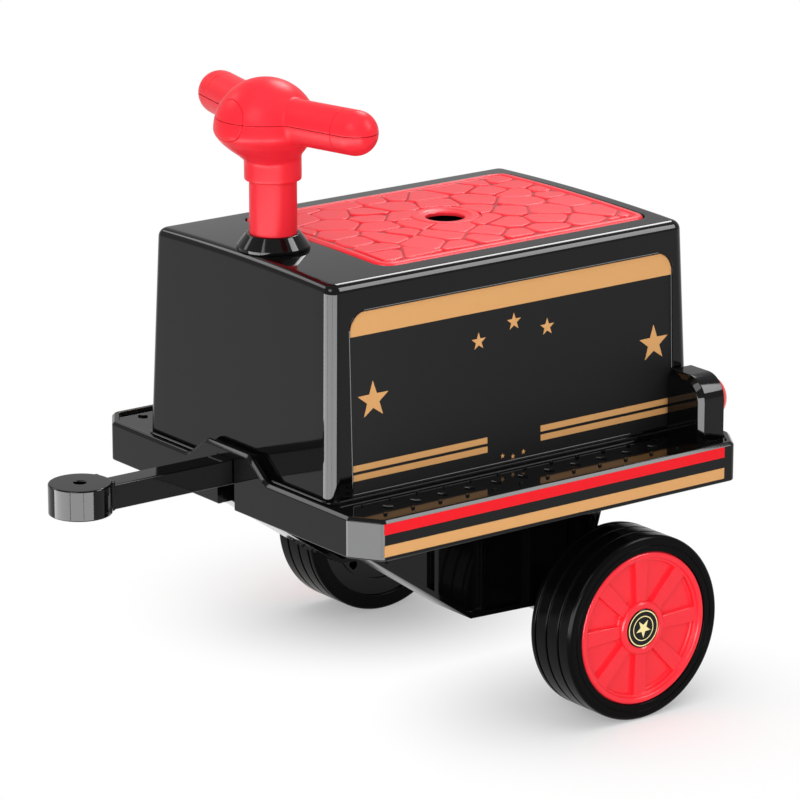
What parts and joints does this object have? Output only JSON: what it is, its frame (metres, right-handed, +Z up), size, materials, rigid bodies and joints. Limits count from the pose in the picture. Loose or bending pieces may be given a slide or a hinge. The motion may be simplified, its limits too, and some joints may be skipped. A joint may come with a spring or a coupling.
{
  "type": "ride-on train carriage",
  "caption": "Towed ride-on toy carriage: boxy body with lift-off cobbled seat lid over a storage tub, T-shaped handle, tray footwells, tow bar with eye, and spoked wheels on one axle.",
  "frame": {"origin": "on the floor under the middle of the part's bounding box, with the tray level", "axes": "+X forward along the tow bar to its eye, +Y to the rider's left, +Z up"},
  "size_m": [0.5354, 0.388, 0.5102],
  "materials": {
    "black_plastic": "glossy moulded black",
    "red_plastic": "satin to glossy moulded red",
    "tyre": "smooth black",
    "steel": "zinc plated",
    "nylon": "natural",
    "badge": "printed disc with a cream ring"
  },
  "bodies": {
    "chassis": {"tray": "black_plastic", "body_shell": "black_plastic", "storage_tub": "black_plastic", "tow_bar": "black_plastic", "tow_bar_bolts": "steel", "handle_base": "black_plastic", "handle_post": "red_plastic", "handle_lower_shell": "red_plastic", "handle_upper_shell": "red_plastic", "handle_screws": "steel", "post_bolt": "steel", "leg_left": "black_plastic", "leg_right": "black_plastic", "leg_screws": "steel", "body_screws": "steel", "axle": "steel", "axle_washers": "steel", "axle_nuts": "steel", "lamp_pod_left": "black_plastic", "lamp_pod_right": "black_plastic", "lamp_lens_left": "red_plastic", "lamp_lens_right": "red_plastic", "lamp_screws": "steel"},
    "lid": {"seat_lid": "red_plastic"},
    "wheel_left": {"tyre_left": "tyre", "rim_left": "red_plastic", "wheel_inner_left": "black_plastic", "bush_left": "nylon", "hub_badge_left": "badge", "wheel_screws_left": "steel"},
    "wheel_right": {"tyre_right": "tyre", "rim_right": "red_plastic", "wheel_inner_right": "black_plastic", "bush_right": "nylon", "hub_badge_right": "badge", "wheel_screws_right": "steel"}
  },
  "joints": [
    {"name": "wheel_left_spin", "type": "hinge", "parent": "chassis", "child": "wheel_left", "pos_m": [-0.15225, 0.1695, 0.075], "axis": [0, 1, 0], "continuous": true},
    {"name": "wheel_right_spin", "type": "hinge", "parent": "chassis", "child": "wheel_right", "pos_m": [-0.15225, -0.1695, 0.075], "axis": [0, 1, 0], "continuous": true},
    {"name": "lid_lift", "type": "slide", "parent": "chassis", "child": "lid", "axis": [0, 0, 1], "range_m": [0, 0.06]}
  ]
}
